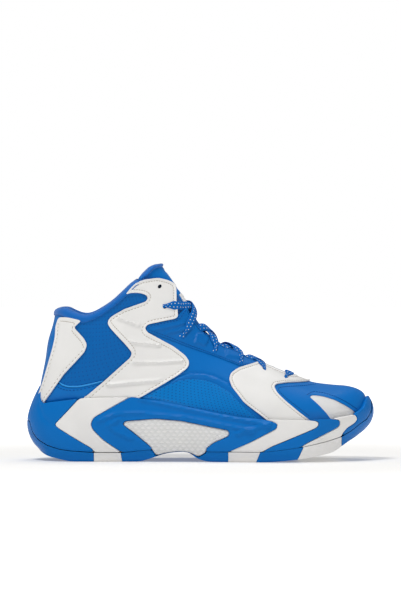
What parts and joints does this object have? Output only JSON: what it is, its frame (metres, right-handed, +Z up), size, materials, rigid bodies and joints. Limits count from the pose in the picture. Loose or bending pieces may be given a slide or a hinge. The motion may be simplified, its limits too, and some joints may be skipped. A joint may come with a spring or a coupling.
{
  "type": "basketball high top",
  "caption": "Right-foot basketball high top: two-tone leather and mesh upper on a moulded foam and rubber sole, with lace, padded collar and tongue that tilts.",
  "frame": {"origin": "on the ground under the middle of the shoe's box", "axes": "+X to the toe, +Z up, -Y the outer side of the right foot"},
  "size_m": [0.3048, 0.111, 0.1731],
  "materials": {
    "blue_leather": "royal blue synthetic leather, fine grain",
    "blue_mesh": "perforated royal blue textile",
    "white_leather": "off-white smooth leather",
    "white_mesh": "open white mesh",
    "blue_rubber": "matt moulded rubber",
    "white_rubber": "matt moulded rubber",
    "white_foam": "matt moulded foam",
    "lining_fabric": "knitted lining textile",
    "stiff_board": "stiff board",
    "lace_cord": "flat woven lace with pale flecks"
  },
  "bodies": {
    "shoe": {"ankle_quarter_inner": "blue_leather", "ankle_quarter_outer": "blue_leather", "ankle_zigzag_inner": "white_leather", "ankle_zigzag_outer": "white_leather", "arch_panel_inner": "white_foam", "arch_panel_outer": "white_foam", "backstay": "blue_leather", "collar_binding": "lining_fabric", "collar_padding": "lining_fabric", "eyestay_inner": "blue_leather", "eyestay_outer": "blue_leather", "heel_counter": "stiff_board", "heel_overlay_inner": "white_leather", "heel_overlay_outer": "white_leather", "lace": "lace_cord", "lower_quarter_inner": "blue_leather", "lower_quarter_outer": "blue_leather", "midsole_arch_frame_inner": "blue_rubber", "midsole_arch_frame_outer": "blue_rubber", "midsole_ball_chevron_inner": "blue_rubber", "midsole_ball_chevron_outer": "blue_rubber", "midsole_ball_stripe_inner": "white_foam", "midsole_ball_stripe_outer": "white_foam", "midsole_core": "white_foam", "midsole_heel_cup": "blue_rubber", "midsole_heel_stripe_inner": "white_foam", "midsole_heel_stripe_outer": "white_foam", "midsole_toe": "blue_rubber", "midsole_toe_stripe_inner": "white_foam", "midsole_toe_stripe_outer": "white_foam", "outsole_ball_front": "blue_rubber", "outsole_ball_rear": "blue_rubber", "outsole_ball_stripe": "white_rubber", "outsole_heel": "blue_rubber", "outsole_heel_front": "blue_rubber", "outsole_heel_stripe": "white_rubber", "outsole_toe": "blue_rubber", "outsole_toe_stripe": "white_rubber", "quarter_lining_inner": "lining_fabric", "quarter_lining_outer": "lining_fabric", "saddle": "white_leather", "shank_plate": "stiff_board", "side_panel_inner": "blue_mesh", "side_panel_outer": "blue_mesh", "sockliner": "lining_fabric", "strobel_board": "stiff_board", "toe_cap": "blue_leather", "toe_puff": "stiff_board", "toe_window_inner": "white_mesh", "toe_window_outer": "white_mesh", "vamp_lining": "lining_fabric"},
    "tongue": {"tongue": "lining_fabric"}
  },
  "joints": [
    {"name": "tongue_tilt", "type": "hinge", "parent": "shoe", "child": "tongue", "pos_m": [0.085, 0, 0.062], "axis": [0, -1, 0], "range_deg": [0, 6], "stiffness_Nm_per_rad": 1.5}
  ]
}
